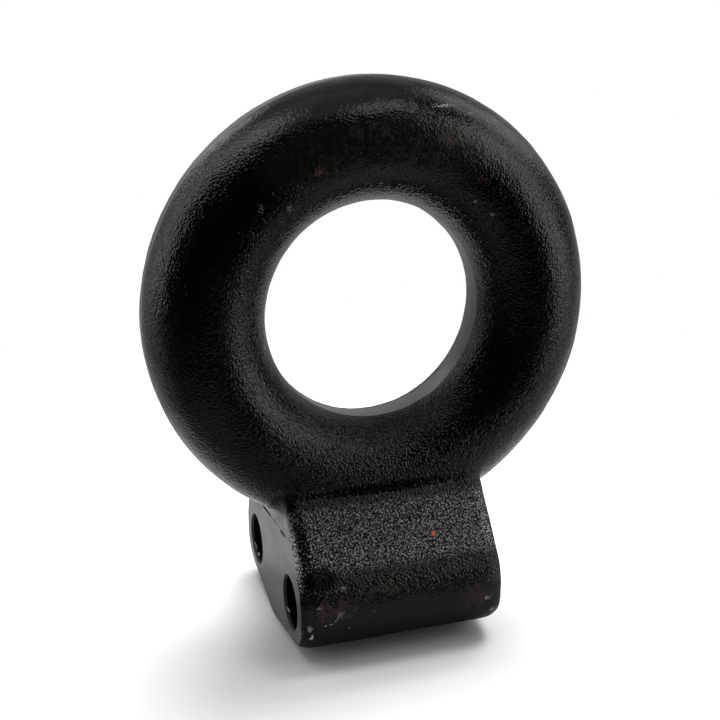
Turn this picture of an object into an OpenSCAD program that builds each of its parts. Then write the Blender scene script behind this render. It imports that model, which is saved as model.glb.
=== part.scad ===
// Pintle ring: one steel drop forging, a round-bar eye on a bolt-through foot.
// Millimetres, +Z up. The origin is the middle of the land the foot stands on.
// X runs along the bolt holes, Y along the eye's axis; -Y is the front.

/* [Eye] */
// Diameter of the eye across its trimmed land
eye_d = 77; // [66:0.5:90]
// Diameter of the round bar that forms the ring
bar_d = 41.3; // [34:0.1:48]
// Depth of the land that trimming leaves inside the eye
eye_trim = 0.4; // [0.1:0.1:1.2]
// Depth of the land that trimming leaves around the rim
rim_trim = 0.25; // [0.1:0.05:1]

/* [Foot] */
// Width of the foot between its milled ends
foot_w = 72.5; // [60:0.5:76]
// How far the foot sits to one side of the eye
foot_shift = -0.9; // [-2:0.1:2]
// Metal milled off each end of the forged foot
mill_stock = 3.3; // [2.5:0.1:6]
// How far the forged neck stands in from the milled ends, where it leaves the ring
neck_inset = 0.3; // [0.2:0.1:3]
// Height of the neck's straight sides, from the middle of the bar down
neck_h = 13; // [8:0.5:18]
// Height over which the neck then widens to the forged width
flare_h = 16; // [10:0.5:24]
// Metal from a bolt hole's centre to the sloping face above it
slope_cover = 18.2; // [16:0.1:21]
// Metal from a bolt hole's centre to the front or the back
side_cover = 16.4; // [14:0.1:19]
// Metal from a bolt hole's centre to the drafted underside
under_cover = 14.9; // [13:0.1:18]
// Draft of the underside, in degrees
draft = 10; // [6:0.5:12]
// Width of the flat land that the foot stands on
land_w = 12; // [8:0.5:18]

/* [Edges] */
// Radius of the fold between the ring and a sloping face
root_r = 5; // [3:0.5:12]
// Radius where a sloping face turns into the front or the back
brow_r = 18; // [12:0.5:22]
// Radius where the front or the back turns into the underside
toe_r = 12; // [9.5:0.5:13]
// Radius along the forged edges next to the ends
edge_r = 8; // [5:0.5:9]

/* [Bolt holes] */
// Diameter of the bolt holes, clear of a 3/4 inch bolt
hole_d = 19.5; // [14:0.1:21]
// Distance between the two bolt holes
hole_spacing = 50.8; // [44:0.2:60]
// Distance from the eye's centre down to the bolt holes
hole_drop = 95.3; // [90:0.1:110]

/* [Hidden] */
$fn = 96;

// How far the top of the foot is tucked into the bar's side
tuck = 0.6;
// How far a cutting tool runs past what it cuts
overrun = 1;
// Degrees between the points of a rounded corner
arc_step = 5;

forged_w = foot_w + 2 * mill_stock;
neck_w = foot_w - 2 * neck_inset;
bar_r = bar_d / 2;
ring_r = eye_d / 2 - eye_trim + bar_r;
rim_r = ring_r + bar_r - rim_trim;
hole_y = -hole_spacing / 2;
hole_z = (under_cover - (hole_y + land_w / 2) * sin(draft)) / cos(draft);
eye_z = hole_z + hole_drop;

// Corners of the foot's outline as [y, z]: down the front, under the foot and up the back.
// The crown is hidden in the bar. A face slopes from the root, at the height of the
// middle of the bar, down to the brow, and leaves slope_cover of metal over the hole.
root = [tuck - bar_r, eye_z - ring_r];
crown = root + [0, 0.9 * sqrt(tuck * (bar_d - tuck))];
reach = root - [hole_y, hole_z];
slope = atan(reach[0] / reach[1]) + asin(slope_cover / norm(reach));
front_y = hole_y - side_cover;
brow = [front_y, hole_z + (slope_cover - side_cover * cos(slope)) / sin(slope)];
toe = [front_y, hole_z - (under_cover - side_cover * sin(draft)) / cos(draft)];
keel = [0, hole_z - (under_cover - hole_y * sin(draft)) / cos(draft)];
corners = [crown, root, brow, toe, keel, back(toe), back(brow), back(root), back(crown)];

// Radius at each corner, less than 0 where the corner is a fold
radii = [0, -root_r, brow_r, toe_r, edge_r, toe_r, brow_r, -root_r, 0];

// Outward normal of the face after each corner, turned from +Y
turns = [180, 180 - slope, 180, 270 - draft, 270 + draft, 360, 360 + slope, 360];

// The same point on the foot's back
function back(p) = [-p[0], p[1]];

// Unit vector out of a face whose outward normal is turned by a, and along it
function out(a) = [cos(a), sin(a)];
function along(a) = [-sin(a), cos(a)];

// How far the outline turns at corner i
function bend(i) = turns[i] - turns[i - 1];

// Centre of the rounding of corner i
function centre(i) =
    corners[i] - radii[i] * (tan(bend(i) / 2) * along(turns[i - 1]) + out(turns[i - 1]));

// The rounding of corner i in equal steps, drawn a depth of edge_r under the surface
function rounding(i) =
    let (steps = ceil(abs(bend(i)) / arc_step), r = radii[i] - edge_r)
    [for (k = [0:(r == 0 ? 0 : steps)]) centre(i) + r * out(turns[i - 1] + bend(i) * k / steps)];

module ring_forging() {
    color("#232426")
    difference() {
        union() {
            ring();
            translate([foot_shift, 0, 0]) foot();
        }
        eye_cut();
        for (side = [-1, 1]) translate([foot_shift, side * hole_y, hole_z]) bolt_hole();
    }
}

// The round bar bent into the eye, with its rim trimmed to a narrow land
module ring() {
    intersection() {
        at_eye() rotate_extrude() translate([ring_r, 0]) circle(bar_r);
        at_eye() cylinder(h = bar_d, r = rim_r, center = true);
    }
}

// The foot: forged body, cut to its plan and to the milled ends
module foot() {
    intersection() {
        forged_body();
        forged_plan();
        milled_slab();
    }
}

// The outline's core swollen by a ball, which rounds every forged edge
module forged_body() {
    core = concat(
        [crown - edge_r * out(turns[0])],
        [for (i = [1:len(turns) - 1], p = rounding(i)) p],
        [back(crown) - edge_r * out(turns[len(turns) - 1])]
    );
    minkowski() {
        rotate([90, 0, 90]) linear_extrude(forged_w - 2 * edge_r, center = true) polygon(core);
        sphere(edge_r, $fn = 48);
    }
}

// Plan of the forged foot seen from the front: straight at the neck, then wider
module forged_plan() {
    half = [
        [neck_w / 2, crown[1]], [neck_w / 2, root[1] - neck_h],
        [forged_w / 2, root[1] - neck_h - flare_h], [forged_w / 2, 0]
    ];
    rotate([90, 0, 0])
    linear_extrude(-4 * front_y, center = true)
    polygon(concat(half, [for (i = [len(half) - 1:-1:0]) back(half[i])]));
}

// Space between the two milled ends
module milled_slab() {
    cube([foot_w, -4 * front_y, 2 * eye_z], center = true);
}

// Trims the inside of the eye to a narrow round land
module eye_cut() {
    at_eye() cylinder(h = bar_d + 2 * overrun, d = eye_d, center = true);
}

// Runs across the foot, from one milled end to the other
module bolt_hole() {
    rotate([0, 90, 0]) cylinder(h = foot_w + 2 * overrun, d = hole_d, center = true);
}

// Places a shape drawn around Z on the eye's axis
module at_eye() {
    translate([0, 0, eye_z]) rotate([90, 0, 0]) children();
}

ring_forging();
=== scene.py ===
"""Pintle ring: a drop-forged towing eye on a bolt-through foot, painted black.

The forging is made in the order of the workshop: the ring and the foot are pressed as one rough
blank, the flash is trimmed off, the ends are milled and the bolt holes drilled, and the whole is
painted. Lengths are in metres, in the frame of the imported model, unless a comment says millimetres.
"""

import logging
import math
from collections.abc import Iterator
from dataclasses import dataclass, field
from enum import Enum

import bmesh
import bpy
from mathutils import Matrix, Quaternion, Vector, noise


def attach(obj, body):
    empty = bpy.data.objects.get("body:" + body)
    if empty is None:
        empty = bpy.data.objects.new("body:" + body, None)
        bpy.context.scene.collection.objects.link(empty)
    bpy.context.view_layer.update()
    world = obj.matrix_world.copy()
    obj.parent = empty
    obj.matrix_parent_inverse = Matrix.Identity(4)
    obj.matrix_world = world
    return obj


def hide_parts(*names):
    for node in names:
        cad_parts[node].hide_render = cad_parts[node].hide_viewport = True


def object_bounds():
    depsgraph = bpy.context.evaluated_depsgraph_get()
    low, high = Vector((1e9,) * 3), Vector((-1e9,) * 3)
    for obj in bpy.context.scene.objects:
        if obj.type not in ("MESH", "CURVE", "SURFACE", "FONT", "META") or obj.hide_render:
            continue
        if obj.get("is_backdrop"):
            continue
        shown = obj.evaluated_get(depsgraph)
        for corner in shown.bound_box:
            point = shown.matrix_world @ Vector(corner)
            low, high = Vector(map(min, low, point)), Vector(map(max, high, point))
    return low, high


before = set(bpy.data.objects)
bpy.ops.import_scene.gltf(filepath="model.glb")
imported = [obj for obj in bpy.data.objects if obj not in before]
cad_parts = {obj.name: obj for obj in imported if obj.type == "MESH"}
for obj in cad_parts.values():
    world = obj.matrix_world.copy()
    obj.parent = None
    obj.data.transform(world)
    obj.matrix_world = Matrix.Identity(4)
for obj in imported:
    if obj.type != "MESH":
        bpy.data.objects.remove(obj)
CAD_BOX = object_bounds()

MM = 0.001
RGBA = tuple[float, float, float, float]
Triple = tuple[float, float, float]
Span = tuple[float, float]
log = logging.getLogger("pintle_ring")

# Without a seed, the vector noise that strays the small dots would differ from run to run.
NOISE_SEED = 7
noise.seed_set(NOISE_SEED)


class Surface(Enum):
    """The kinds of surface on the forging, in the order of its materials."""

    FORGED = 0
    TRIMMED = 1
    MILLED = 2
    DRILLED = 3
    BURRED = 4


class Cut(Enum):
    """What a tool does to the blank, by the name of the boolean operation."""

    REMOVE = "DIFFERENCE"
    KEEP = "INTERSECT"


class End(Enum):
    """The milled ends, by their side of the foot along X."""

    LEFT = -1
    RIGHT = 1


class Hole(Enum):
    """The bolt holes, by their side of the foot along Y."""

    FRONT = -1
    REAR = 1


def new_object(name: str, bm: bmesh.types.BMesh) -> bpy.types.Object:
    """Makes an object at the origin from a bmesh, and frees the bmesh.

    Args:
        name: Name of the object and its mesh.
        bm: The finished shape.
    Returns:
        The object, linked to the scene.
    """
    mesh = bpy.data.meshes.new(name)
    bm.to_mesh(mesh)
    bm.free()
    obj = bpy.data.objects.new(name, mesh)
    bpy.context.scene.collection.objects.link(obj)
    return obj


def discard(obj: bpy.types.Object) -> None:
    """Deletes a tool or a blank that is used up.

    Args:
        obj: The tool or the blank, which goes with its mesh.
    """
    mesh = obj.data
    bpy.data.objects.remove(obj)
    bpy.data.meshes.remove(mesh)


def settle(obj: bpy.types.Object) -> None:
    """Applies an object's modifiers to its mesh.

    Args:
        obj: The object, which keeps its name and gets the new mesh.
    """
    graph = bpy.context.evaluated_depsgraph_get()
    mesh = bpy.data.meshes.new_from_object(obj.evaluated_get(graph), depsgraph=graph)
    old = obj.data
    obj.modifiers.clear()
    obj.data = mesh
    mesh.name = obj.name
    bpy.data.meshes.remove(old)


def carve(blank: bpy.types.Object, tool: bpy.types.Object, cut: Cut) -> None:
    """Cuts a blank with a tool and discards the tool.

    Args:
        blank: The closed shape to be cut.
        tool: A closed shape.
        cut: Whether the tool removes what it covers or keeps it.
    """
    boolean = blank.modifiers.new("cut", "BOOLEAN")
    boolean.operation = cut.value
    boolean.solver = "MANIFOLD"
    boolean.object = tool
    settle(blank)
    discard(tool)


def prism(corners: list[Vector], along: Vector) -> bmesh.types.BMesh:
    """Extrudes one flat outline into a prism.

    Args:
        corners: The outline's corners in order.
        along: The way and distance from the outline to the other end.
    Returns:
        The prism.
    """
    bm = bmesh.new()
    face = bm.faces.new([bm.verts.new(c) for c in corners])
    end = bmesh.ops.extrude_face_region(bm, geom=[face])["geom"]
    moved = [g for g in end if isinstance(g, bmesh.types.BMVert)]
    bmesh.ops.translate(bm, verts=moved, vec=along)
    bmesh.ops.recalc_face_normals(bm, faces=bm.faces)
    return bm


@dataclass
class EyeRing:
    """The round bar bent into the eye."""

    centre_z: float = 113.85 * MM
    eye_r: float = 38.5 * MM
    bar_r: float = 20.65 * MM
    bend_r: float = 58.75 * MM
    rim_r: float = 79.15 * MM
    sides: int = 72
    steps: int = 200
    trim_sides: int = 256
    trim_reach: float = 30 * MM
    trim_gap: float = math.radians(29)

    @property
    def centre(self) -> Vector:
        """Middle of the eye."""
        return Vector((0, 0, self.centre_z))

    def blank(self) -> bpy.types.Object:
        """Spins the bar's round section about the eye's axis.

        Returns:
            The closed ring.
        """
        bm = bmesh.new()
        bar = bmesh.ops.create_circle(bm, segments=self.sides, radius=self.bar_r)["verts"]
        bmesh.ops.translate(bm, verts=bar, vec=(self.bend_r, 0, 0))
        bmesh.ops.spin(
            bm, geom=list(bm.edges), axis=(0, 1, 0), angle=math.tau, steps=self.steps, use_merge=True,
        )
        bmesh.ops.translate(bm, verts=bm.verts, vec=self.centre)
        bmesh.ops.recalc_face_normals(bm, faces=bm.faces)
        return new_object("ring_blank", bm)

    def eye_trimmer(self) -> bpy.types.Object:
        """Round punch that trims the flash inside the eye.

        Returns:
            The punch, as a closed cylinder.
        """
        bm = bmesh.new()
        bmesh.ops.create_cone(
            bm, cap_ends=True, segments=self.trim_sides, radius1=self.eye_r, radius2=self.eye_r,
            depth=2 * self.trim_reach, matrix=Matrix.Rotation(math.pi / 2, 4, "X"),
        )
        bmesh.ops.translate(bm, verts=bm.verts, vec=self.centre)
        return new_object("eye_trimmer", bm)

    def rim_trimmer(self) -> bpy.types.Object:
        """Trimming die around the rim, open where the foot comes through.

        Returns:
            The die, as a closed band.
        """
        reach, near, far = self.trim_reach, self.rim_r, self.rim_r + self.trim_reach
        corners = ((near, -reach, 0), (far, -reach, 0), (far, reach, 0), (near, reach, 0))
        bm = bmesh.new()
        section = [bm.verts.new(c) for c in corners]
        face = bm.faces.new(section)
        opening = Matrix.Rotation(math.pi / 2 + self.trim_gap, 3, "Y")
        bmesh.ops.rotate(bm, verts=section, cent=(0, 0, 0), matrix=opening)
        bmesh.ops.spin(
            bm, geom=[face], axis=(0, 1, 0), angle=math.tau - 2 * self.trim_gap,
            steps=self.trim_sides,
        )
        bmesh.ops.translate(bm, verts=bm.verts, vec=self.centre)
        bmesh.ops.recalc_face_normals(bm, faces=bm.faces)
        return new_object("rim_trimmer", bm)


@dataclass(frozen=True)
class Groove:
    """A needle-shaped cut in the left milled end, from one y and z to another.

    It runs past its ends as far as it is deep, and its skin is burred within that distance of its line.
    """

    start: Vector
    end: Vector
    half_width: float
    depth: float

    def covers(self, y: float, z: float) -> bool:
        """Tells whether a point of the end lies in the burred bottom of the cut.

        Args:
            y: The point's place along Y.
            z: The point's height.
        Returns:
            Whether the skin is burred there.
        """
        run, reach = self.end - self.start, Vector((y, z)) - self.start
        share = min(max(reach.dot(run) / run.length_squared, 0), 1)
        return (reach - share * run).length < self.depth


BURR_LINE = (
    Groove(Vector((13, 37.9)) * MM, Vector((2.1, 39.2)) * MM, half_width=0.6 * MM, depth=0.375 * MM),
    Groove(Vector((2.3, 39.1)) * MM, Vector((1.7, 39.2)) * MM, half_width=0.7 * MM, depth=0.6 * MM),
    Groove(Vector((1, 39.3)) * MM, Vector((-11, 40.4)) * MM, half_width=0.2 * MM, depth=0.16 * MM),
    Groove(Vector((-13.5, 40.2)) * MM, Vector((-21.5, 41.5)) * MM, half_width=0.8 * MM, depth=0.3 * MM),
)


@dataclass
class Foot:
    """The wedge-shaped foot, its milled ends and its two bolt holes.

    Along Y, a die or a cutter is tool_length times as long as half the foot's width.
    """

    ring: EyeRing
    shift: float = -0.9 * MM
    milled_w: float = 72.5 * MM
    mill_stock: float = 3.3 * MM
    mill_sweep: float = 6 * mill_stock
    left_mill_top: float = 45 * MM
    right_mill_top: float = 40.5 * MM
    run_out: float = math.radians(7)
    neck_inset: float = 0.3 * MM
    right_swell: float = 0.9 * MM
    neck_h: float = 14.4 * MM
    flare_h: float = 14.6 * MM
    slope_cover: float = 18.2 * MM
    side_cover: float = 16.4 * MM
    under_cover: float = 14.9 * MM
    draft: float = math.radians(10)
    root_r: float = 5 * MM
    brow_r: float = 18 * MM
    toe_r: float = 12 * MM
    edge_r: float = 8 * MM
    tuck: float = 0.6 * MM
    crown_h: float = 4.4 * MM
    hole_r: float = 9.75 * MM
    hole_offset: float = 25.4 * MM
    hole_z: float = 18.55 * MM
    hole_chamfer: float = 0.12 * MM
    hole_sides: int = 128
    tool_length: int = 4
    arc_segments: int = 8
    needle_sides: int = 16
    needle_rings: int = 12
    weld_gap: float = 0.006 * MM

    @property
    def milled_half(self) -> float:
        """Half the width between the milled ends."""
        return self.milled_w / 2

    @property
    def forged_half(self) -> float:
        """Half the forged width, before milling."""
        return self.milled_half + self.mill_stock

    @property
    def root(self) -> Vector:
        """Where the front of the bar turns into the sloping face, as y and z."""
        return Vector((self.tuck - self.ring.bar_r, self.ring.centre_z - self.ring.bend_r))

    def outline(self) -> list[tuple[Vector, float]]:
        """Corners of the foot seen from the end, from the front crown round to the keel.

        Returns:
            Pairs of a corner, as y and z, and the radius there.
        """
        hole = Vector((-self.hole_offset, self.hole_z))
        reach = self.root - hole
        slope = math.atan(reach.x / reach.y) + math.asin(self.slope_cover / reach.length)
        sine, cosine = math.sin(self.draft), math.cos(self.draft)
        front = -self.hole_offset - self.side_cover
        brow_z = hole.y + (self.slope_cover - self.side_cover * math.cos(slope)) / math.sin(slope)
        toe_z = hole.y - (self.under_cover - self.side_cover * sine) / cosine
        keel_z = hole.y - (self.under_cover + self.hole_offset * sine) / cosine
        return [
            (self.root + Vector((0, self.crown_h)), 0),
            (self.root, self.root_r),
            (Vector((front, brow_z)), self.brow_r),
            (Vector((front, toe_z)), self.toe_r),
            (Vector((0, keel_z)), self.edge_r),
        ]

    def round_off(self, bm: bmesh.types.BMesh, geom: list, offset: float, affect: str) -> None:
        """Rounds corners or edges.

        Args:
            bm: The bmesh that holds them.
            geom: The corners or the edges.
            offset: How far from them the rounding starts.
            affect: VERTICES for corners, EDGES for edges.
        """
        bmesh.ops.bevel(
            bm, geom=geom, offset=offset, offset_type="OFFSET", segments=self.arc_segments,
            profile=0.5, affect=affect, material=-1,
        )

    def blank(self) -> bpy.types.Object:
        """Presses the foot: its rounded outline, drawn out along X and rounded at both ends.

        Returns:
            The closed foot, as wide as it is forged and cut to its plan.
        """
        front = self.outline()
        corners = front + [(Vector((-c.x, c.y)), r) for c, r in reversed(front[:-1])]
        places = [c for c, _ in corners]
        bm = bmesh.new()
        verts = [bm.verts.new((-self.forged_half, c.x, c.y)) for c in places]
        bm.faces.new(verts)
        for i, (vert, (corner, radius)) in enumerate(zip(verts, corners)):
            if radius == 0:
                continue
            into = (corner - places[i - 1]).normalized()
            out = (places[(i + 1) % len(places)] - corner).normalized()
            self.round_off(bm, [vert], radius * math.tan(into.angle(out) / 2), "VERTICES")
        end = bmesh.ops.extrude_face_region(bm, geom=list(bm.faces))["geom"]
        moved = [g for g in end if isinstance(g, bmesh.types.BMVert)]
        bmesh.ops.translate(bm, verts=moved, vec=(2 * self.forged_half, 0, 0))
        bmesh.ops.recalc_face_normals(bm, faces=bm.faces)
        ends = [e for e in bm.edges if abs(e.verts[0].co.x - e.verts[1].co.x) < self.weld_gap]
        self.round_off(bm, ends, self.edge_r, "EDGES")
        bmesh.ops.translate(bm, verts=bm.verts, vec=(self.shift, 0, 0))
        foot = new_object("foot_blank", bm)
        carve(foot, self.plan(), Cut.KEEP)
        return foot

    def lean(self, bm: bmesh.types.BMesh, height: float) -> None:
        """Leans a tool so that it stands higher in front than behind.

        Args:
            bm: The tool.
            height: Height of the line along X that the tool turns about.
        """
        turn = Matrix.Rotation(-self.run_out, 3, "X")
        bmesh.ops.rotate(bm, verts=bm.verts, cent=(0, 0, height), matrix=turn)

    def plan(self) -> bpy.types.Object:
        """Die seen from the front: straight at the neck, then wider.

        Returns:
            The die's cavity, leaning so that the flare starts higher in front than behind.
        """
        neck = self.milled_half - self.neck_inset + self.right_swell / 2
        top = self.root.y + self.ring.bar_r
        flare = self.root.y - self.neck_h
        half = [
            (neck, top), (neck, flare),
            (self.forged_half, flare - self.flare_h), (self.forged_half, -flare),
        ]
        reach = self.tool_length * self.forged_half
        corners = [Vector((x, -reach / 2, z)) for x, z in half]
        corners += [Vector((-c.x, c.y, c.z)) for c in reversed(corners)]
        bm = prism(corners, Vector((0, reach, 0)))
        self.lean(bm, flare)
        bmesh.ops.translate(bm, verts=bm.verts, vec=(self.shift + self.right_swell / 2, 0, 0))
        return new_object("foot_plan", bm)

    def milling_cut(self, end: End) -> bpy.types.Object:
        """What the cutter sweeps away at one end of the foot.

        Args:
            end: Which end is milled.
        Returns:
            A leaning box with its inner face on the milled plane.
        """
        face = end.value * self.milled_half + self.shift
        reach = self.tool_length * self.milled_half / 2
        top = self.left_mill_top if end is End.LEFT else self.right_mill_top
        corners = ((-reach, -top), (reach, -top), (reach, top), (-reach, top))
        outline = [Vector((face, y, z)) for y, z in corners]
        bm = prism(outline, Vector((end.value * self.mill_sweep, 0, 0)))
        self.lean(bm, top)
        return new_object("milling_cut", bm)

    def drill(self, hole: Hole) -> bpy.types.Object:
        """Drill with a countersink at both mouths.

        Args:
            hole: Which hole it makes.
        Returns:
            The space that drilling and deburring leave empty.
        """
        mouth = self.milled_half - self.hole_chamfer
        flared = self.hole_r + (self.hole_chamfer + self.mill_stock)
        profile = [
            (-self.forged_half, 0), (-self.forged_half, flared), (-mouth, self.hole_r),
            (mouth, self.hole_r), (self.forged_half, flared), (self.forged_half, 0),
        ]
        bm = bmesh.new()
        verts = [bm.verts.new((x, 0, r)) for x, r in profile]
        edges = [bm.edges.new(pair) for pair in zip(verts, verts[1:])]
        bmesh.ops.spin(
            bm, geom=edges, axis=(1, 0, 0), angle=math.tau, steps=self.hole_sides, use_merge=True,
        )
        bmesh.ops.remove_doubles(bm, verts=bm.verts, dist=self.weld_gap)
        place = (self.shift, hole.value * self.hole_offset, self.hole_z)
        bmesh.ops.translate(bm, verts=bm.verts, vec=place)
        bmesh.ops.recalc_face_normals(bm, faces=bm.faces)
        return new_object("drill", bm)

    def burr_cut(self, groove: Groove) -> bpy.types.Object:
        """Cut that the cutter's burr left where it ran out of the forged neck.

        Args:
            groove: Where the cut lies on the left milled end, and its size.
        Returns:
            The cut, as a closed spindle.
        """
        run, middle = groove.end - groove.start, (groove.start + groove.end) / 2
        size = (groove.half_width, groove.depth, run.length / 2 + groove.depth)
        bm = bmesh.new()
        bmesh.ops.create_uvsphere(
            bm, u_segments=self.needle_sides, v_segments=self.needle_rings, radius=1,
        )
        bmesh.ops.scale(bm, verts=bm.verts, vec=size)
        along = Vector((0, run.x, run.y)).to_track_quat("Z", "X").to_matrix()
        bmesh.ops.rotate(bm, verts=bm.verts, cent=(0, 0, 0), matrix=along)
        place = (self.shift - self.milled_half, middle.x, middle.y)
        bmesh.ops.translate(bm, verts=bm.verts, vec=place)
        return new_object("burr_cut", bm)


@dataclass(frozen=True)
class Ripple:
    """One size of unevenness: how broad and how deep it is, and where its noise starts."""

    breadth: float
    depth: float
    start: Triple = (0, 0, 0)

    def height(self, place: Vector) -> float:
        """Height of the skin over the true surface at a point."""
        return noise.noise(place / self.breadth + Vector(self.start)) * self.depth


@dataclass
class ForgedSkin:
    """The unevenness that the dies leave on a hot forging."""

    voxel: float = 0.95 * MM
    even_passes: int = 3
    fold_passes: int = 14
    fold_reach: float = 2.6 * MM
    evening: float = 0.5
    ripples: tuple[Ripple, ...] = (
        Ripple(17 * MM, 0.16 * MM),
        Ripple(6.5 * MM, 0.09 * MM, (3, 1, 7)),
        Ripple(2.6 * MM, 0.05 * MM, (9, 4, 2)),
    )

    def weld(self, ring: bpy.types.Object, foot: bpy.types.Object) -> bpy.types.Object:
        """Joins the ring and the foot into one skin of even faces.

        Args:
            ring: The ring's blank, which is used up.
            foot: The foot's blank, which is used up.
        Returns:
            The forged blank.
        """
        bm = bmesh.new()
        for part in (ring, foot):
            bm.from_mesh(part.data)
            discard(part)
        blank = new_object("forged_ring", bm)
        remesh = blank.modifiers.new("even", "REMESH")
        remesh.mode = "VOXEL"
        remesh.voxel_size = self.voxel
        settle(blank)
        return blank

    def smooth(self, bm: bmesh.types.BMesh, verts: list[bmesh.types.BMVert], passes: int) -> None:
        """Evens out a part of the skin.

        Args:
            bm: The skin.
            verts: The part's vertices.
            passes: How many times they are evened.
        """
        for _ in range(passes):
            bmesh.ops.smooth_vert(
                bm, verts=verts, factor=self.evening, use_axis_x=True, use_axis_y=True, use_axis_z=True,
            )

    def press(self, blank: bpy.types.Object, ring: EyeRing, foot: Foot) -> None:
        """Softens the fold under the ring and makes the skin uneven.

        Args:
            blank: The forged blank.
            ring: Sizes of the ring.
            foot: Sizes of the foot.
        """
        bm = bmesh.new()
        bm.from_mesh(blank.data)
        self.smooth(bm, list(bm.verts), self.even_passes)
        self.smooth(bm, [v for v in bm.verts if self.in_fold(v.co, ring, foot)], self.fold_passes)
        bm.normal_update()
        for vert in bm.verts:
            vert.co += vert.normal * sum(ripple.height(vert.co) for ripple in self.ripples)
        bm.to_mesh(blank.data)
        bm.free()

    def in_fold(self, place: Vector, ring: EyeRing, foot: Foot) -> bool:
        """Tells whether a point is where the foot runs into the bar.

        Args:
            place: The point.
            ring: Sizes of the ring.
            foot: Sizes of the foot.
        Returns:
            Whether the point is in the fold.
        """
        across = abs(place.x - foot.shift)
        beside = across < foot.milled_half + self.fold_reach
        if not (beside and foot.root.y - foot.neck_h < place.z < foot.root.y + ring.bar_r):
            return False
        radial = math.hypot(place.x, place.z - ring.centre_z) - ring.bend_r
        off_bar = math.hypot(radial, place.y) - ring.bar_r
        near_side = abs(across - foot.milled_half) < self.fold_reach
        return (-self.fold_reach if near_side else 0) < off_bar < self.fold_reach


# Sockets of the Mix node for colours, which share their names with those for numbers.
MIX_MASK, MIX_FIRST, MIX_SECOND, MIX_RESULT = 0, 6, 7, 2


class Graph:
    """A node tree under construction, with short ways to add and join nodes."""

    def __init__(self, tree: bpy.types.NodeTree) -> None:
        """Starts from an empty tree."""
        self.tree = tree
        self.tree.nodes.clear()

    def add(self, kind: str, settings: dict | None = None, **inputs: object) -> bpy.types.Node:
        """Adds a node and fills or joins its inputs.

        Args:
            kind: The node's type.
            settings: The node's own properties.
            inputs: A value or an output for each input, with its name's spaces as underscores.
        Returns:
            The node.
        """
        node = self.tree.nodes.new(kind)
        for name, value in (settings or {}).items():
            setattr(node, name, value)
        for name, value in inputs.items():
            self.feed(node, name.replace("_", " "), value)
        return node

    def feed(self, node: bpy.types.Node, name: str | int, value: object) -> None:
        """Joins an output to an input, or sets the input's value.

        Args:
            node: The node that has the input.
            name: The input's name or number.
            value: The value or the output.
        """
        socket = node.inputs[name]
        if isinstance(value, bpy.types.NodeSocket):
            self.tree.links.new(value, socket)
        else:
            socket.default_value = value

    def work_out(self, kind: str, operation: str, terms: tuple) -> bpy.types.Node:
        """Adds a node that works out one operation.

        Args:
            kind: The node's type.
            operation: The operation's name.
            terms: Its terms, as values or outputs.
        Returns:
            The node.
        """
        node = self.add(kind, {"operation": operation})
        for i, term in enumerate(terms):
            self.feed(node, i, term)
        return node

    def math(self, operation: str, *terms: object) -> bpy.types.NodeSocket:
        """Gives the result of an operation on numbers."""
        return self.work_out("ShaderNodeMath", operation, terms).outputs[0]

    def vector(self, operation: str, *terms: object) -> bpy.types.NodeSocket:
        """Gives the result of an operation on vectors."""
        return self.work_out("ShaderNodeVectorMath", operation, terms).outputs["Vector"]

    def length(self, vector: bpy.types.NodeSocket) -> bpy.types.NodeSocket:
        """Gives the length of a vector."""
        return self.work_out("ShaderNodeVectorMath", "LENGTH", (vector,)).outputs["Value"]

    def group(self, tree: bpy.types.NodeTree, **inputs: object) -> bpy.types.Node:
        """Places a node group, with its inputs filled or joined."""
        return self.add("ShaderNodeGroup", {"node_tree": tree}, **inputs)

    def noise(
        self, place: bpy.types.NodeSocket, scale: object, detail: float = 1.0, roughness: float = 0.5,
    ) -> bpy.types.NodeSocket:
        """Gives a noise's value.

        Args:
            place: The shaded point.
            scale: How many waves there are in a metre.
            detail: How many finer layers lie on it.
            roughness: How strong the finer layers are.
        Returns:
            The value, about 0.5 on average.
        """
        waves = {"Vector": place, "Scale": scale, "Detail": detail, "Roughness": roughness}
        return self.add("ShaderNodeTexNoise", {}, **waves).outputs[0]

    def ramp(self, value: object, low: object, high: object) -> bpy.types.NodeSocket:
        """Maps a value smoothly to 0 at low and 1 at high.

        Args:
            value: The value, as a number or an output.
            low: Where the result is 0.
            high: Where the result is 1.
        Returns:
            The result.
        """
        node = self.add("ShaderNodeMapRange", {"interpolation_type": "SMOOTHSTEP"}, Value=value)
        self.feed(node, "From Min", low)
        self.feed(node, "From Max", high)
        return node.outputs[0]

    def blend(self, mask: object, first: object, second: object) -> bpy.types.NodeSocket:
        """Mixes two colours by a mask.

        Args:
            mask: 0 for the first colour, 1 for the second.
            first: The colour under the mask.
            second: The colour that the mask lays on.
        Returns:
            The mixed colour.
        """
        node = self.add("ShaderNodeMix", {"data_type": "RGBA"})
        for socket, value in ((MIX_MASK, mask), (MIX_FIRST, first), (MIX_SECOND, second)):
            self.feed(node, socket, value)
        return node.outputs[MIX_RESULT]


def new_group(
    name: str, takes: dict[str, str], gives: dict[str, str],
) -> tuple[Graph, bpy.types.Node, bpy.types.Node]:
    """Starts a shader node group.

    Args:
        name: Name of the group.
        takes: Inputs by name, with the socket type of each.
        gives: Outputs by name, with the socket type of each.
    Returns:
        The group's graph, its input node and its output node.
    """
    tree = bpy.data.node_groups.new(name, "ShaderNodeTree")
    for side, sockets in (("INPUT", takes), ("OUTPUT", gives)):
        for label, kind in sockets.items():
            tree.interface.new_socket(label, in_out=side, socket_type=kind)
    graph = Graph(tree)
    return graph, graph.add("NodeGroupInput"), graph.add("NodeGroupOutput")


NUMBER, ARROW = "NodeSocketFloat", "NodeSocketVector"


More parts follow.
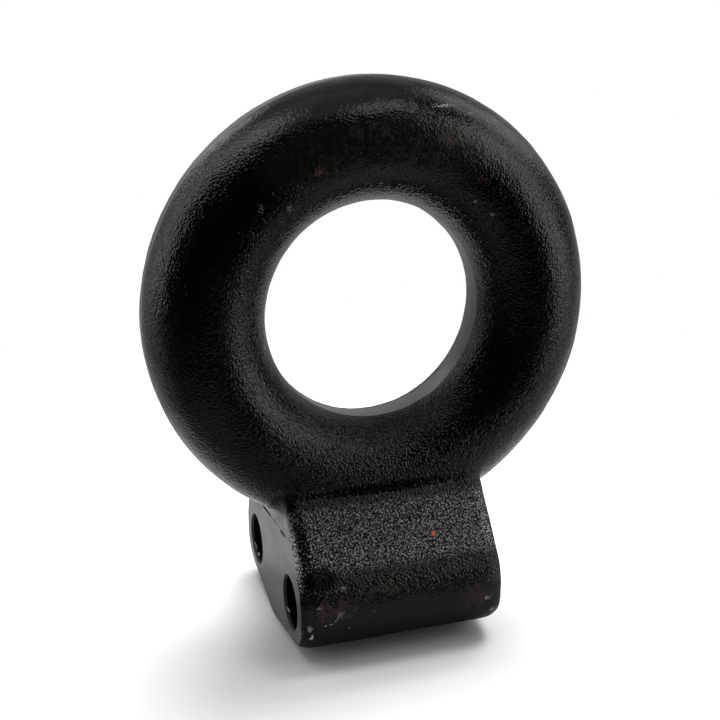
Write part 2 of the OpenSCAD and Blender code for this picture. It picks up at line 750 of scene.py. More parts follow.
@dataclass
class Effects:
    """The effects that more than one finish uses, each built once as a node group."""

    broad_rate: float = 0.28
    speck_rate: float = 1.35
    speck_roughness: float = 0.7
    peak: Span = (0.42, 0.72)
    pimple_chance: Span = (0.5, 1.0)
    raggedness: float = 4.0
    ragged_detail: float = 3.0
    core_blur: float = 0.25
    rim_blur: float = 0.3
    cloud_rate: float = 70.0
    cloud_detail: float = 4.0
    cloud_roughness: float = 0.6
    stained: Span = (0.5, 0.75)
    dried: Span = (0.25, 0.75)

    def __post_init__(self) -> None:
        """Builds the groups."""
        self.grain = self.build_grain()
        self.pimples = self.build_pimples()
        self.patch = self.build_patch()
        self.cloud = self.build_cloud()

    def build_grain(self) -> bpy.types.NodeTree:
        """Builds the paint's pebbled grain over a shot-blasted skin.

        Returns:
            A group that gives the grain's height in metres, and 1 on its peaks and 0 in its pits.
        """
        takes = {"Vector": ARROW, "Size": NUMBER, "Depth": NUMBER, "Undulation": NUMBER}
        graph, given, made = new_group("pebble_grain", takes, {"Height": NUMBER, "Peaks": NUMBER})
        place = given.outputs["Vector"]
        rate = graph.math("DIVIDE", 1.0, given.outputs["Size"])
        fine = graph.noise(place, rate)
        broad = graph.noise(place, graph.math("MULTIPLY", rate, self.broad_rate))
        height = graph.math("MULTIPLY", fine, given.outputs["Depth"])
        height = graph.math("MULTIPLY_ADD", broad, given.outputs["Undulation"], height)
        graph.feed(made, "Height", height)
        speck_rate = graph.math("MULTIPLY", rate, self.speck_rate)
        specks = graph.noise(place, speck_rate, roughness=self.speck_roughness)
        graph.feed(made, "Peaks", graph.ramp(specks, *self.peak))
        return graph.tree

    def build_pimples(self) -> bpy.types.NodeTree:
        """Builds stray pimples, far apart, where grit lies under the paint.

        Returns:
            A group that gives 1 on top of a pimple and 0 between them.
        """
        takes = {"Vector": ARROW, "Spacing": NUMBER, "Size": NUMBER}
        graph, given, made = new_group("stray_pimples", takes, {"Height": NUMBER})
        rate = graph.math("DIVIDE", 1.0, given.outputs["Spacing"])
        cells = graph.add("ShaderNodeTexVoronoi", {"feature": "F1"}, Scale=rate)
        graph.feed(cells, "Vector", given.outputs["Vector"])
        draw = graph.add("ShaderNodeSeparateColor", {}, Color=cells.outputs["Color"]).outputs[0]
        chance = graph.ramp(draw, *self.pimple_chance)
        radius = graph.math("MULTIPLY", given.outputs["Size"], rate)
        edge = graph.math("MULTIPLY", radius, chance)
        graph.feed(made, "Height", graph.ramp(cells.outputs["Distance"], edge, 0.0))
        return graph.tree

    def build_patch(self) -> bpy.types.NodeTree:
        """Builds one ragged patch of wear, stain, painted shade or painted highlight.

        Returns:
            A group that gives 1 inside the patch and 0 outside.
        """
        takes = {"Vector": ARROW, "Centre": ARROW, "Radii": ARROW, "Grit": NUMBER, "Cover": NUMBER}
        graph, given, made = new_group("ragged_patch", takes, {"Mask": NUMBER})
        place = given.outputs["Vector"]
        offset = graph.vector("SUBTRACT", place, given.outputs["Centre"])
        distance = graph.length(graph.vector("DIVIDE", offset, given.outputs["Radii"]))
        inside = graph.math("SUBTRACT", 1.0, distance)
        rate = graph.math("DIVIDE", 1.0, given.outputs["Grit"])
        grit = graph.noise(place, rate, self.ragged_detail)
        grit = graph.math("MULTIPLY_ADD", grit, self.raggedness, -self.raggedness / 2)
        bare = graph.math("SUBTRACT", 1.0, given.outputs["Cover"])
        core = graph.math("SUBTRACT", graph.math("ADD", inside, grit), bare)
        core = graph.ramp(core, 0.0, self.core_blur)
        rim = graph.ramp(inside, 0.0, self.rim_blur)
        graph.feed(made, "Mask", graph.math("MULTIPLY", core, rim))
        return graph.tree

    def build_cloud(self) -> bpy.types.NodeTree:
        """Builds the broad blotches in which the paint is stained and dry.

        Returns:
            A group that gives 1 where the paint is stained, and 1 where it is dry.
        """
        gives = {"Stained": NUMBER, "Dry": NUMBER}
        graph, given, made = new_group("paint_cloud", {"Vector": ARROW}, gives)
        place = given.outputs["Vector"]
        cloud = graph.noise(place, self.cloud_rate, self.cloud_detail, self.cloud_roughness)
        graph.feed(made, "Stained", graph.ramp(cloud, *self.stained))
        graph.feed(made, "Dry", graph.ramp(cloud, *self.dried))
        return graph.tree


@dataclass(frozen=True)
class Patch:
    """One place where the paint is chipped, scuffed or stained, or where shade or a highlight is painted."""

    name: str
    colour: RGBA
    centre: Triple
    radii: Triple
    cover: float
    grit: float
    strength: float
    painted_shade: float | None


@dataclass(frozen=True)
class Fade:
    """A change of a value of the grain from one height to another."""

    start: float
    end: float
    share: float

    def change(self, graph: Graph, upward: bpy.types.NodeSocket, value: object) -> bpy.types.NodeSocket:
        """Multiplies a value by the share, more and more from the start to the end.

        Args:
            graph: The material's graph.
            upward: The height of the shaded point.
            value: The value to change.
        Returns:
            The changed value.
        """
        step = graph.ramp(upward, self.start, self.end)
        return graph.math("MULTIPLY", graph.math("MULTIPLY_ADD", step, self.share - 1, 1.0), value)


@dataclass(frozen=True)
class PaintFinish:
    """Black paint over one kind of surface.

    With a pit shade, its pits get painted shade, black metal that mirrors nothing, and its peaks keep a
    gloss under grey dust that is partly a painted highlight.
    """

    name: str
    colour: RGBA
    roughness: Span
    grain_size: float
    grain_depth: float
    undulation: float
    specular: float = 0.5
    stain: RGBA | None = None
    fades: tuple[Fade, ...] = ()
    pit_shade_and_dust: float = 0.0
    pit_shade_fades: tuple[Fade, ...] = ()
    dust_and_glints: RGBA | None = None
    dusty: Span = (0.4, 0.8)
    gloss_roughness: float = 0.1
    pimple_depth: float = 0.0
    pimple_spacing: float = 3 * MM
    pimple_size: float = 0.42 * MM
    patches: tuple[Patch, ...] = ()
    patch_roughness: float = 0.2

    def material(self, effects: Effects) -> bpy.types.Material:
        """Builds the finish.

        Args:
            effects: The shared node groups.
        Returns:
            The material.
        """
        material = bpy.data.materials.new(self.name)
        material.use_nodes = True
        graph = Graph(material.node_tree)
        place = graph.add("ShaderNodeTexCoord").outputs["Object"]
        upward = graph.add("ShaderNodeSeparateXYZ", {}, Vector=place).outputs["Z"]
        depth, pit_shade_and_dust = self.grain_depth, self.pit_shade_and_dust
        for fade in self.fades:
            depth = fade.change(graph, upward, depth)
        for fade in self.pit_shade_fades:
            pit_shade_and_dust = fade.change(graph, upward, pit_shade_and_dust)
        grain = graph.group(
            effects.grain, Vector=place, Size=self.grain_size, Depth=depth, Undulation=self.undulation,
        )
        height = grain.outputs["Height"]
        if self.pimple_depth:
            stray = graph.group(
                effects.pimples, Vector=place, Spacing=self.pimple_spacing, Size=self.pimple_size,
            )
            height = graph.math("MULTIPLY_ADD", stray.outputs["Height"], self.pimple_depth, height)
        bump = graph.add("ShaderNodeBump", {}, Strength=1.0, Distance=1.0, Height=height)
        cloud = graph.group(effects.cloud, Vector=place)
        smooth, dry = self.roughness
        rough = graph.math("MULTIPLY_ADD", cloud.outputs["Dry"], dry - smooth, smooth)
        colour = self.colour
        if self.stain:
            colour = graph.blend(cloud.outputs["Stained"], colour, self.stain)
        # Painted shade: the grain's pits become black metal that mirrors nothing, and the peaks get grey
        # dust that is partly a painted highlight of their glints.
        if self.pit_shade_and_dust:
            peaks = grain.outputs["Peaks"]
            pits = graph.math("MULTIPLY", graph.math("SUBTRACT", 1.0, peaks), pit_shade_and_dust)
            peaks = graph.math("MULTIPLY", peaks, graph.ramp(pit_shade_and_dust, *self.dusty))
            colour = graph.blend(peaks, colour, self.dust_and_glints)
        for patch in self.patches:
            worn = graph.group(
                effects.patch, Vector=place, Centre=patch.centre, Radii=patch.radii,
                Grit=patch.grit, Cover=patch.cover,
            )
            worn.label = patch.name
            mask = graph.math("MULTIPLY", worn.outputs["Mask"], patch.strength)
            colour = graph.blend(mask, colour, patch.colour)
            rough = graph.math("MULTIPLY_ADD", mask, self.patch_roughness, rough)
            # Painted shade over the patch: its Metallic level makes it mirror less, and nothing at 1.
            if self.pit_shade_and_dust and patch.painted_shade is not None:
                rest = graph.math("SUBTRACT", 1.0, mask)
                painted_shade = graph.math("MULTIPLY", mask, patch.painted_shade)
                pits = graph.math("MULTIPLY_ADD", pits, rest, painted_shade)
                peaks = graph.math("MULTIPLY", peaks, rest)
        shader = graph.add(
            "ShaderNodeBsdfPrincipled", {}, Base_Color=colour, Roughness=rough,
            Normal=bump.outputs["Normal"], Specular_IOR_Level=self.specular,
        )
        # Metallic black in the pits is painted shade.
        if self.pit_shade_and_dust:
            graph.feed(shader, "Metallic", pits)
            graph.feed(shader, "Coat Weight", peaks)
            graph.feed(shader, "Coat Roughness", self.gloss_roughness)
        graph.add("ShaderNodeOutputMaterial", {}, Surface=shader.outputs[0])
        return material


BLACK = (0.0016, 0.0015, 0.003, 1)
DRY_BLACK = (0.0038, 0.0035, 0.0032, 1)
NECK_BLACK = (0.02, 0.02, 0.0205, 1)
MILLED_BLACK = (0.037, 0.037, 0.0385, 1)
TRIMMED_BLACK = (0.065, 0.065, 0.0665, 1)
SATIN_BLACK = (0.085, 0.085, 0.088, 1)
OLIVE_DUST = (0.013, 0.0115, 0.007, 1)
RED_DUST = (0.016, 0.008, 0.0075, 1)
HAZE = (0.019, 0.0178, 0.0168, 1)
BROWN_DUST = (0.026, 0.0145, 0.012, 1)
RED_FLAKE = (0.085, 0.03, 0.022, 1)
# Painted sheen that lightens the low part of each milled end.
PAINTED_SHEEN_GREY = (0.115, 0.115, 0.117, 1)
EDGE_DUST = (0.12, 0.1, 0.095, 1)
# Grey dust on the grain's peaks, partly real dust and partly a painted highlight of their glints.
GREY_DUST_AND_GLINTS = (0.23, 0.23, 0.245, 1)
PALE_DUST = (0.28, 0.27, 0.26, 1)
# Pale specks that paint the highlight on the slope's rounded left edge.
PAINTED_EDGE_HIGHLIGHT = (0.5, 0.5, 0.52, 1)
RUST = (0.55, 0.09, 0.02, 1)
BARE_STEEL = (0.42, 0.41, 0.4, 1)
# Painted glints at the mouths of the bolt holes.
PAINTED_GLINT_WHITE = (0.85, 0.84, 0.83, 1)


def spot(
    name: str, colour: RGBA, place: Triple, reach: Triple, cover: float, grit: float = 0.33,
    strength: float = 1.0, painted_shade: float | None = None,
) -> Patch:
    """Describes a patch in millimetres.

    Args:
        name: What the patch is.
        colour: Colour of the wear, the painted shade or the painted highlight.
        place: Its centre.
        reach: Its half width along each axis.
        cover: How far the wear fills it: about half of its middle at 0, and all of it from 3 up.
        grit: Size of its ragged bits.
        strength: How thick it is.
        painted_shade: painted shade laid over it, from 1, where it mirrors nothing, to 0, where it mirrors
            as smooth paint, or None to keep the pits.
    Returns:
        The patch, in metres.
    """
    centre, radii = tuple(Vector(place) * MM), tuple(Vector(reach) * MM)
    return Patch(name, colour, centre, radii, cover, grit * MM, strength, painted_shade)


def trail(
    name: str, colour: RGBA, start: Triple, end: Triple, count: int, size: float,
    cover: float = 1.5, thickness: float = 1,
) -> list[Patch]:
    """Describes a row of small dots, uneven in place and size, in millimetres.

    Args:
        name: What the row is.
        colour: Colour of the dots.
        start: Place of the first dot.
        end: Place of the last dot.
        count: How many dots there are.
        size: Half width of a dot.
        cover: How far the wear fills a dot.
        thickness: Half width of a dot along Y.
    Returns:
        The dots.
    """
    dots = []
    for i in range(count):
        place = Vector(start).lerp(Vector(end), i / (count - 1))
        stray = noise.noise_vector(place * size) * size
        radius = size * (1 + noise.noise(place))
        reach = (radius, thickness, radius)
        dots.append(spot(f"{name}_{i}", colour, tuple(place + stray), reach, cover, size))
    return dots


# All wear, painted shade and painted highlights are placed in millimetres, where the photograph shows them.
FORGED_WEAR_SHADE_AND_HIGHLIGHTS = (
    spot("brown_lobe_dust", BROWN_DUST, (-26, -41.5, 22.5), (11, 5, 5.5), 0.7, grit=1.4, strength=0.85),
    spot("olive_brow_dust", OLIVE_DUST, (-8, -41, 26.5), (17, 6, 4), 0.6, grit=1.4),
    spot("brown_right_dust", BROWN_DUST, (27, -41.5, 20), (11, 5, 8), 0.6, grit=1.4, strength=0.7),
    spot("red_brow_dust", RED_DUST, (18, -39.5, 30), (10, 5, 3), 0.5, grit=1.1, strength=0.7),
    spot("red_top_dust", RED_DUST, (-9, -20.2, 176.5), (14, 5, 4), 0.6, grit=3, strength=0.6),
    spot("brown_top_dust", OLIVE_DUST, (20, -20.2, 173), (6, 5, 4), 0.6, grit=2),
    spot("front_corner_chip", BARE_STEEL, (-34.5, -41.5, 17.1), (1.6, 3, 2), 0.22, grit=0.3),
    spot("corner_chip_edge", BARE_STEEL, (-34.6, -41.5, 16.2), (1.1, 3, 0.6), 0.4, grit=0.3),
    spot("lower_corner_chip", BARE_STEEL, (-33.7, -41.3, 13.6), (0.45, 3, 1.2), 1, grit=0.4),
    spot("lower_chip_foot", BARE_STEEL, (-34.1, -41, 12.9), (0.9, 3, 0.55), 0.9, grit=0.5),
    spot("left_lobe_specks", PALE_DUST, (-31.1, -41.5, 24), (1.5, 3, 1), 0.45),
    spot("middle_lobe_specks", PALE_DUST, (-24, -41.8, 20.8), (2.6, 3, 1.8), 0.12),
    spot("brow_specks", PALE_DUST, (-22.1, -39.9, 29), (2, 3, 1.4), 0.25),
    spot("right_scuff", PALE_DUST, (29.4, -41.8, 17.8), (1.6, 3, 1.2), 0.35),
    spot("right_corner_scuff", PALE_DUST, (32.4, -40.8, 12), (2.4, 3, 2), 0.3),
    *trail("scraped_line", PALE_DUST, (-30.2, -41.8, 17.4), (-26.4, -41.8, 17.7), count=5, size=0.2),
    *trail("scraped_bend", PALE_DUST, (-25.7, -41.8, 18.4), (-24.7, -41.8, 19.9), count=3, size=0.22),
    spot("left_edge_shade", BLACK, (-33.4, -31, 42), (2.7, 20, 24), 0.75, grit=0.9, strength=0.9, painted_shade=1),
    # Painted highlight: pale specks on the rounded left edge of the slope.
    spot("left_edge_painted_highlight", PAINTED_EDGE_HIGHLIGHT, (-36.9, -32, 39), (2.1, 13, 16), 0.55, grit=0.45, strength=0.9),
    spot("left_low_edge", EDGE_DUST, (-36.9, -41, 13), (0.8, 3, 8), 0.4, grit=0.4, strength=0.9),
    spot("left_lobe_shade", BLACK, (-29.5, -38, 32.5), (6.5, 6, 4.5), 1.5, grit=1.4, strength=0.75, painted_shade=1),
    spot("left_neck_side", NECK_BLACK, (-38.3, 0, 49), (2.4, 46, 13), 4, grit=3, strength=0.95, painted_shade=0.25),
    # Painted shade under the ring at the left of the neck.
    spot("left_neck_fold_shade", BLACK, (-36.5, -11, 52), (5, 15, 5.5), 1.6, grit=2, strength=0.9, painted_shade=1),
    spot("fold_shade", BLACK, (-1, -20.6, 55), (38, 3, 2.4), 0.9, grit=0.9, strength=0.9, painted_shade=1),
    spot("top_haze", HAZE, (-3, -20.5, 168), (50, 5.5, 16), 3, grit=5, strength=0.4),
    spot("top_mottle", HAZE, (2, -20.5, 169), (42, 5, 10), 0.5, grit=1.6, strength=0.4),
    spot("left_mottle", OLIVE_DUST, (-56, -20.5, 118), (8, 5, 40), 0.3, grit=1.6, strength=0.4),
    spot("left_ring_scuff", PALE_DUST, (-42.5, -20.6, 154.5), (2, 2, 2.4), 0.22, strength=0.8),
    spot("right_ring_scuff", PALE_DUST, (-33.2, -19.3, 153.5), (2, 2, 2.6), 0.22, strength=0.8),
    *trail("lobe_dots", PALE_DUST, (-21, -41.8, 15.2), (-12, -41.8, 19.8), count=2, size=0.2),
    spot("top_scratch", PALE_DUST, (20, -15.3, 183.7), (7.5, 3, 0.8), 0.4, grit=0.4, strength=0.85),
    spot("shoulder_scratch", PALE_DUST, (29, -15, 180.9), (5, 3, 0.8), 0.25, grit=0.4, strength=0.35),
    spot("rust_spot", RUST, (13, -31.6, 40.1), (0.9, 2, 0.9), 1.2, grit=0.8),
    spot("red_ring_flake", RED_FLAKE, (-23.8, -20.5, 165), (3, 2, 1.8), 0.6, grit=0.7),
    spot("upper_right_flake", RED_FLAKE, (20.1, -20.3, 172.9), (3.5, 2, 1.6), 0.3, grit=0.7, strength=0.6),
    spot("right_flake", RED_FLAKE, (32.1, -20.5, 159.9), (3.5, 2, 2), 0.3, grit=0.7, strength=0.6),
    spot("right_speck", PALE_DUST, (30.5, -18.4, 152.7), (0.9, 2, 0.9), 0.4),
    spot("lower_right_speck", PALE_DUST, (36.6, -18.7, 147.9), (1, 2, 1), 0.4),
)

END_X = {End.LEFT: -37.15, End.RIGHT: 35.35}

# Painted sheen: each milled end is lighter towards the bottom, standing in for the floor's reflection.
MILLED_LOW_SHEEN = tuple(
    spot(f"{end.name.lower()}_low_painted_sheen", PAINTED_SHEEN_GREY, (x, -18, 4), (3, 40, 18), 1.1, grit=12)
    for end, x in END_X.items()
)

MOUTH_WEAR_AND_GLINTS = (
    *(
        spot(
            f"{end.name.lower()}_{hole.name.lower()}_mouth", SATIN_BLACK,
            (x, 25.4 * hole.value, 18.55), (1.5, 25, 25), 4, grit=5,
        )
        for end, x in END_X.items() for hole in Hole
    ),
    # Painted glints: bright dots at the mouths' lower edges on the left end.
    *trail("front_mouth_painted_glint", PAINTED_GLINT_WHITE, (-36.4, -17.7, 12.6), (-35.8, -19.2, 11.1), count=5, size=0.25),
    *trail("rear_mouth_painted_glint", PAINTED_GLINT_WHITE, (-36.2, 33.2, 12.8), (-35.7, 31.6, 11), count=5, size=0.2),
    *trail("rear_mouth_low_painted_glint", PAINTED_GLINT_WHITE, (-35.7, 29.4, 9.7), (-35.7, 28.9, 9.5), count=2, size=0.25),
)

FINISHES = {
    Surface.FORGED: PaintFinish(
        "forged_paint", BLACK, roughness=(0.1, 0.18), stain=DRY_BLACK,
        grain_size=0.78 * MM, grain_depth=0.68 * MM, undulation=0.12 * MM,
        fades=(
            Fade(50 * MM, 90 * MM, 0.46), Fade(155 * MM, 185 * MM, 0.4), Fade(32 * MM, 22 * MM, 0.4),
        ),
        pit_shade_and_dust=0.8, pit_shade_fades=(Fade(48 * MM, 54 * MM, 0.45), Fade(37 * MM, 28 * MM, 0.15)),
        dust_and_glints=GREY_DUST_AND_GLINTS, pimple_depth=0.16 * MM, patches=FORGED_WEAR_SHADE_AND_HIGHLIGHTS,
    ),
    Surface.TRIMMED: PaintFinish(
        "trimmed_paint", TRIMMED_BLACK, roughness=(0.25, 0.35),
        grain_size=0.9 * MM, grain_depth=0.05 * MM, undulation=0.08 * MM,
    ),
    Surface.MILLED: PaintFinish(
        "milled_paint", MILLED_BLACK, roughness=(0.3, 0.4), specular=0.36,
        grain_size=1.2 * MM, grain_depth=0.012 * MM, undulation=0.03 * MM, patches=MILLED_LOW_SHEEN,
    ),
    Surface.DRILLED: PaintFinish(
        "drilled_paint", BLACK, roughness=(0.25, 0.35), specular=0.3,
        grain_size=0.9 * MM, grain_depth=0.05 * MM, undulation=0.05 * MM, patches=MOUTH_WEAR_AND_GLINTS,
    ),
    Surface.BURRED: PaintFinish(
        "burred_paint", BLACK, roughness=(0.7, 0.8), specular=0.05,
        grain_size=0.9 * MM, grain_depth=0.05 * MM, undulation=0.05 * MM,
    ),
}


@dataclass
class PintleRing:
    """The whole forging, from blank to paint."""

    ring: EyeRing = field(default_factory=EyeRing)
    skin: ForgedSkin = field(default_factory=ForgedSkin)
    body: str = "root"
    node: str = "ring_forging"
    slot: str = "black_paint"
    crease: float = math.radians(32)
    near: float = 0.02 * MM
    weld_gap: float = 0.002 * MM
    squareness: float = 0.99
    trim_lean: float = 0.02
    most_corners: int = 4

    def __post_init__(self) -> None:
        """Sizes the foot to the ring."""
        self.foot = Foot(self.ring)

    def build(self) -> bpy.types.Object:
        """Forges, trims, mills and drills the part.

        Returns:
            The finished shape, without its materials.
        """
        piece = self.skin.weld(self.ring.blank(), self.foot.blank())
        self.skin.press(piece, self.ring, self.foot)
        log.info("forged blank: %d faces", len(piece.data.polygons))
        for tool in self.tools():
            carve(piece, tool, Cut.REMOVE)
        self.seat(piece)
        return piece

    def tools(self) -> Iterator[bpy.types.Object]:
        """Makes the tools that cut the blank, each when its turn comes.

        Returns:
            The trimmers, the cutter and the drill at each end, and the burr.
        """
        yield self.ring.eye_trimmer()
        yield self.ring.rim_trimmer()
        for end, hole in ((End.LEFT, Hole.REAR), (End.RIGHT, Hole.FRONT)):
            yield self.foot.milling_cut(end)
            yield self.foot.drill(hole)
        for groove in BURR_LINE:
            yield self.foot.burr_cut(groove)

    def seat(self, piece: bpy.types.Object) -> None:
        """Trims the land under the foot and keeps the shape inside the frame's box.

        Args:
            piece: The cut forging.
        """
        bm = bmesh.new()
        bm.from_mesh(piece.data)
        cut = bmesh.ops.bisect_plane(
            bm, geom=[*bm.verts, *bm.edges, *bm.faces], plane_co=(0, 0, 0), plane_no=(0, 0, -1),
            clear_outer=True,
        )
        rim = [e for e in cut["geom_cut"] if isinstance(e, bmesh.types.BMEdge)]
        bmesh.ops.holes_fill(bm, edges=rim, sides=0)
        low, high = CAD_BOX
        for vert in bm.verts:
            for axis in range(3):
                vert.co[axis] = min(max(vert.co[axis], low[axis]), high[axis])
        bmesh.ops.remove_doubles(bm, verts=bm.verts, dist=self.weld_gap)
        bmesh.ops.triangulate(bm, faces=[f for f in bm.faces if len(f.verts) > self.most_corners])
        bm.to_mesh(piece.data)
        bm.free()
        piece.data.shade_smooth()
        piece.data.set_sharp_from_angle(angle=self.crease)

    def surface_at(self, place: Vector, normal: Vector) -> Surface:
        """Tells how the surface at a point was made.

        Args:
            place: A point on the surface.
            normal: The surface's normal there.
        Returns:
            The kind of surface.
        """
        foot, across = self.foot, abs(place.x - self.foot.shift)
        hole = math.hypot(abs(place.y) - foot.hole_offset, place.z - foot.hole_z)
        inside = across < foot.milled_half - self.near
        if inside and hole < foot.hole_r + foot.hole_chamfer + self.near:
            return Surface.DRILLED
        if abs(across - foot.milled_half) < self.near and abs(normal.x) > self.squareness:
            return Surface.MILLED
        near_left = place.x < foot.shift - foot.milled_half + foot.mill_stock
        if near_left and any(groove.covers(place.y, place.z) for groove in BURR_LINE):
            return Surface.BURRED
        radius = math.hypot(place.x, place.z - self.ring.centre_z)
        on_trim = min(abs(radius - self.ring.eye_r), abs(radius - self.ring.rim_r)) < self.near
        if place.z < self.near or (on_trim and abs(normal.y) < self.trim_lean):
            return Surface.TRIMMED
        return Surface.FORGED

    def dress(self, piece: bpy.types.Object) -> None:
        """Paints the forging.

        Args:
            piece: The finished shape.
        """
        effects = Effects()
        piece.data.materials.clear()
        for surface in Surface:
            piece.data.materials.append(FINISHES[surface].material(effects))
        for face in piece.data.polygons:
            face.material_index = self.surface_at(face.center, face.normal).value

    def make(self) -> bpy.types.Object:
        """Builds and dresses the forging and puts it in the frame.

        Returns:
            The finished piece.
        """
        piece = self.build()
        self.dress(piece)
        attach(piece, self.body)
        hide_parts(self.node)
        return piece


def heading(turn: float, tilt: float) -> Vector:
    """Points from the front, turned right by one angle and up by the other."""
    return Vector((math.sin(turn) * math.cos(tilt), -math.cos(turn) * math.cos(tilt), math.sin(tilt)))


@dataclass(frozen=True)
class Softbox:
    """A soft studio light, aimed at the middle of the object, with its angles in degrees."""

    name: str
    azimuth: float
    elevation: float
    width: float
    height: float
    radiance: float
    distance: float = 0.95
    mirrored: bool = True

    def place(self, aim: Vector) -> bpy.types.Object:
        """Hangs the light.

        Args:
            aim: The point it faces.
        Returns:
            The light.
        """
        light = bpy.data.lights.new(self.name, "AREA")
        light.shape = "RECTANGLE"
        light.size, light.size_y = self.width, self.height
        light.energy = self.radiance * math.pi * self.width * self.height
        away = heading(math.radians(self.azimuth), math.radians(self.elevation))
        lamp = bpy.data.objects.new(self.name, light)
        lamp.location = aim + away * self.distance
        lamp.rotation_euler = away.to_track_quat("Z", "Y").to_euler()
        lamp.visible_camera = False
        lamp.visible_glossy = self.mirrored
        bpy.context.scene.collection.objects.link(lamp)
        return lamp


def grey(level: float) -> RGBA:
    """An even grey."""
    return (level, level, level, 1)


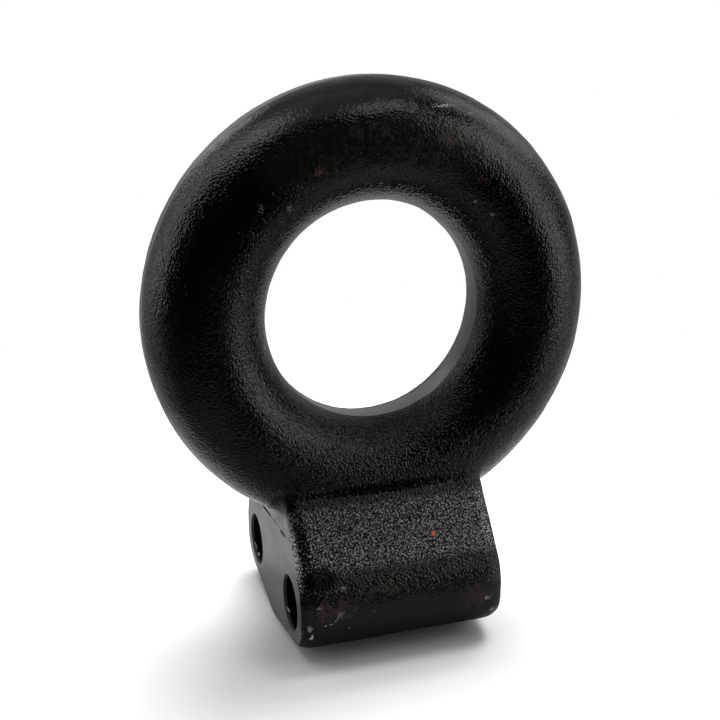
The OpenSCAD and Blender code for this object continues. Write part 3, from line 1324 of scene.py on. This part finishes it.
@dataclass
class Studio:
    """The pale floor, the soft lights and the camera."""

    floor_reach: float = 1.4
    floor_front: float = -0.17
    floor_lit: float = 0.8
    floor_seen: float = 0.82
    near_mirrored: float = 0.5
    floor_mirrored: float = 0.25
    front_mirrored: float = 0.2
    left_mirrored: float = 0.05
    far_mirrored: float = 0.36
    far_left_mirrored: float = 0.06
    near_span: Span = (0.18, 0.1)
    left_span: Span = (-0.06, -0.2)
    front_span: Span = (0.05, -0.03)
    shadow_span: Span = (0.2, 0.4)
    room_front: float = 0.015
    room_rise: float = 0.32
    room_span: Span = (-0.15, 0.75)
    camera_place: Triple = (-119.11 * MM, -354.86 * MM, 214.76 * MM)
    camera_turn: float = math.radians(18.02)
    camera_tilt: float = math.radians(17.76)
    camera_roll: float = math.radians(0.06)
    camera_clip: Span = (0.01, 20)
    sensor: float = 36.0
    lens: float = 55.56
    aim: Vector = field(default_factory=lambda: Vector((0, 0, 100 * MM)))
    softboxes: tuple[Softbox, ...] = (
        Softbox("left_softbox", azimuth=-109, elevation=26, width=0.48, height=1.2, radiance=1.55),
        Softbox("upper_left_softbox", azimuth=-83, elevation=63, width=0.42, height=0.38, radiance=1.9),
        Softbox("back_left_softbox", azimuth=-155, elevation=32, width=0.28, height=0.4, radiance=1.45),
        Softbox("right_softbox", azimuth=60, elevation=13, width=0.5, height=1.05, radiance=2.15),
        Softbox("back_right_softbox", azimuth=102, elevation=38, width=0.52, height=0.62, radiance=1.3),
        Softbox(
            "front_softbox", azimuth=38, elevation=58, width=0.36, height=0.32, radiance=1.7,
            distance=1.0,
        ),
        Softbox(
            "top_softbox", azimuth=-20, elevation=84, width=1.2, height=1.0, radiance=0.4, distance=1.1,
        ),
        Softbox(
            "shadow_light", azimuth=145, elevation=62, width=1.0, height=0.9, radiance=9.8,
            distance=1.1, mirrored=False,
        ),
    )

    def floor_material(self) -> bpy.types.Material:
        """Builds the floor's paper: white to the camera, with a shadow, and dimmer in the black paint, where
        its mirror image is a painted reflection, lighter near the back and darker in front and to the left.

        Returns:
            The material.
        """
        material = bpy.data.materials.new("pale_floor")
        material.use_nodes = True
        graph = Graph(material.node_tree)
        path = graph.add("ShaderNodeLightPath").outputs
        mirrored = graph.math("MAXIMUM", path["Is Glossy Ray"], path["Is Transmission Ray"])
        seen = graph.math("MAXIMUM", path["Is Camera Ray"], mirrored)
        place = graph.add("ShaderNodeTexCoord").outputs["Object"]
        across, backward, _ = graph.add("ShaderNodeSeparateXYZ", {}, Vector=place).outputs
        away = graph.length(place)
        near = graph.ramp(away, *self.near_span)
        leftward = graph.ramp(across, *self.left_span)
        frontward = graph.ramp(backward, *self.front_span)
        # Painted reflection: the floor's level in the paint's mirror image, lighter near the back, darker in
        # front, darkest to the left.
        behind = graph.blend(near, grey(self.floor_mirrored), grey(self.near_mirrored))
        front = graph.blend(leftward, grey(self.front_mirrored), grey(self.left_mirrored))
        reflection = graph.blend(frontward, behind, front)
        colour = graph.blend(mirrored, grey(self.floor_lit), reflection)
        colour = graph.blend(path["Is Camera Ray"], colour, grey(self.floor_seen))
        paper = graph.add("ShaderNodeBsdfDiffuse", {}, Color=colour)
        far = graph.math("MULTIPLY", graph.ramp(away, *self.shadow_span), seen)
        # Painted reflection: far off, the floor glows dimmer in mirror images to the front left.
        dim = graph.math("MULTIPLY", leftward, frontward)
        fall = self.far_left_mirrored - self.far_mirrored
        level = graph.math("MULTIPLY_ADD", dim, fall, self.far_mirrored)
        strength = graph.math("MAXIMUM", path["Is Camera Ray"], level)
        glow = graph.add("ShaderNodeEmission", {}, Color=grey(1), Strength=strength)
        both = graph.add("ShaderNodeMixShader", {}, Fac=far)
        graph.feed(both, 1, paper.outputs[0])
        graph.feed(both, 2, glow.outputs[0])
        graph.add("ShaderNodeOutputMaterial", {}, Surface=both.outputs[0])
        return material

    def floor(self) -> bpy.types.Object:
        """Lays the floor, which ends a little in front of the object.

        Returns:
            The floor.
        """
        bm = bmesh.new()
        bmesh.ops.create_grid(bm, x_segments=1, y_segments=1, size=self.floor_reach)
        for vert in bm.verts:
            vert.co.y = max(vert.co.y, self.floor_front)
        floor = new_object("floor", bm)
        floor.data.materials.append(self.floor_material())
        floor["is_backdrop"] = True
        return floor

    def world(self) -> None:
        """Sets the room: white to the camera, bright behind the object and dim in front."""
        world = bpy.data.worlds.new("studio")
        bpy.context.scene.world = world
        world.use_nodes = True
        graph = Graph(world.node_tree)
        way = graph.add("ShaderNodeTexCoord").outputs["Generated"]
        axes = graph.add("ShaderNodeSeparateXYZ", {}, Vector=way)
        behind = graph.ramp(axes.outputs["Y"], *self.room_span)
        level = graph.math("MULTIPLY_ADD", behind, self.room_rise, self.room_front)
        path = graph.add("ShaderNodeLightPath")
        strength = graph.math("MAXIMUM", level, path.outputs["Is Camera Ray"])
        glow = graph.add("ShaderNodeBackground", {}, Color=grey(1), Strength=strength)
        graph.add("ShaderNodeOutputWorld", {}, Surface=glow.outputs[0])

    def camera(self) -> bpy.types.Object:
        """Stands the camera where the photograph was taken from.

        Returns:
            The camera.
        """
        data = bpy.data.cameras.new("camera")
        data.sensor_width = self.sensor
        data.lens = self.lens
        data.clip_start, data.clip_end = self.camera_clip
        camera = bpy.data.objects.new("camera", data)
        camera.location = self.camera_place
        ahead = -heading(-self.camera_turn, self.camera_tilt)
        level = ahead.to_track_quat("-Z", "Y")
        camera.rotation_euler = (level @ Quaternion((0, 0, 1), self.camera_roll)).to_euler()
        bpy.context.scene.collection.objects.link(camera)
        bpy.context.scene.camera = camera
        return camera

    def set_up(self) -> None:
        """Builds the whole studio."""
        bpy.context.scene.view_settings.view_transform = "Standard"
        self.floor()
        self.world()
        self.camera()
        for softbox in self.softboxes:
            softbox.place(self.aim)


def main() -> None:
    """Sets up the studio, makes the forging and reports it."""
    logging.basicConfig(level=logging.INFO, format="%(name)s: %(message)s")
    Studio().set_up()
    piece = PintleRing().make()
    bpy.context.view_layer.update()
    low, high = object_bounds()
    size = [round((b - a) / MM, 1) for a, b in zip(low, high)]
    log.info("%s: %d faces, %s mm", piece.name, len(piece.data.polygons), size)


if __name__ == "__main__":
    main()
